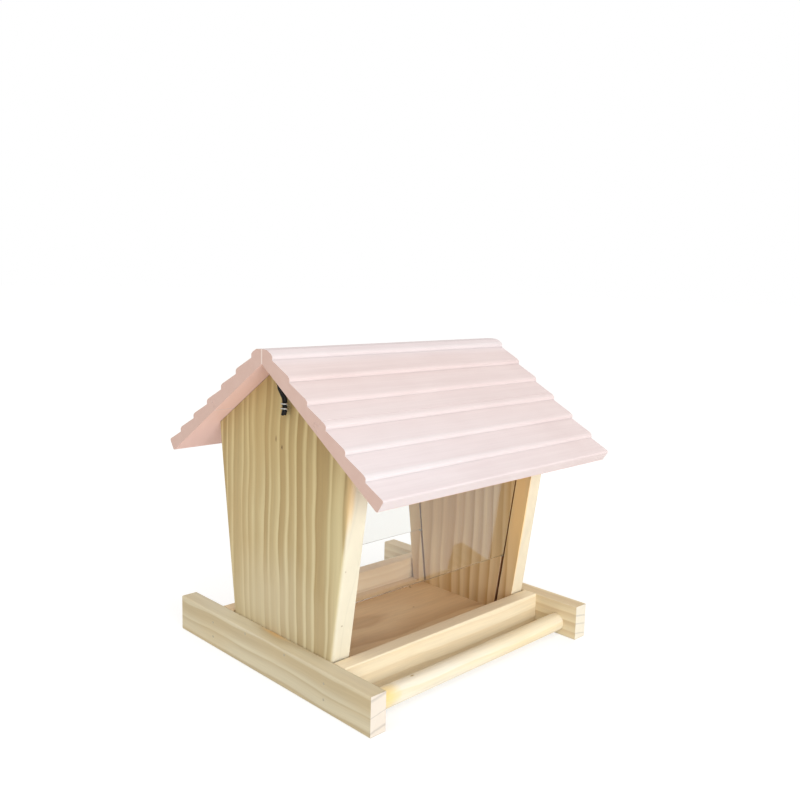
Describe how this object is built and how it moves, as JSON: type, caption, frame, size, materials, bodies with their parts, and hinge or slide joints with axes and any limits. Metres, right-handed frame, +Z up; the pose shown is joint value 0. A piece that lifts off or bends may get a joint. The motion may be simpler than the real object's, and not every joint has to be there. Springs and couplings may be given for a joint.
{
  "type": "hanging bird feeder",
  "caption": "House-shaped hopper bird feeder of pine with clear panes, a seed tray, perches and a clapboard roof that lifts up its hanging cord.",
  "frame": {"origin": "centre of the footprint at the underside of the tray, where the feeder stands", "axes": "+X along the ridge to the right as seen from the front, -Y towards the front, +Z up"},
  "size_m": [0.205, 0.2074, 0.1986],
  "materials": {
    "pine_gable": "bare planed pine with strong upright grain",
    "pine_rail": "bare planed pine with lengthwise grain",
    "pine_tray": "bare planed pine, warm tan",
    "dowel": "bare round dowel",
    "roof_paint": "pine under matte pale pink paint",
    "clear_acrylic": "clear polished sheet",
    "brad_steel": "plain steel wire",
    "band_wire": "bright bent wire",
    "black_cord": "black braided cord"
  },
  "bodies": {
    "house": {"floor_board": "pine_tray", "side_rail_left": "pine_rail", "side_rail_right": "pine_rail", "tray_lip_front": "pine_tray", "tray_lip_back": "pine_tray", "gable_left": "pine_gable", "gable_right": "pine_gable", "window_front": "clear_acrylic", "window_back": "clear_acrylic", "window_stops": "brad_steel", "perch_front": "dowel", "perch_back": "dowel", "rail_brads_left": "brad_steel", "rail_brads_right": "brad_steel", "floor_brads": "brad_steel", "house_cord": "black_cord", "cord_band_upper": "band_wire", "cord_band_lower": "band_wire"},
    "roof": {"roof_front_upper": "roof_paint", "roof_front_lower": "roof_paint", "roof_back_upper": "roof_paint", "roof_back_lower": "roof_paint", "ridge_brads": "brad_steel", "hanging_cord": "black_cord"}
  },
  "joints": [
    {"name": "roof_lift", "type": "slide", "parent": "house", "child": "roof", "axis": [0, 0, 1], "range_m": [0, 0.06], "deforming": ["hanging_cord"]}
  ]
}
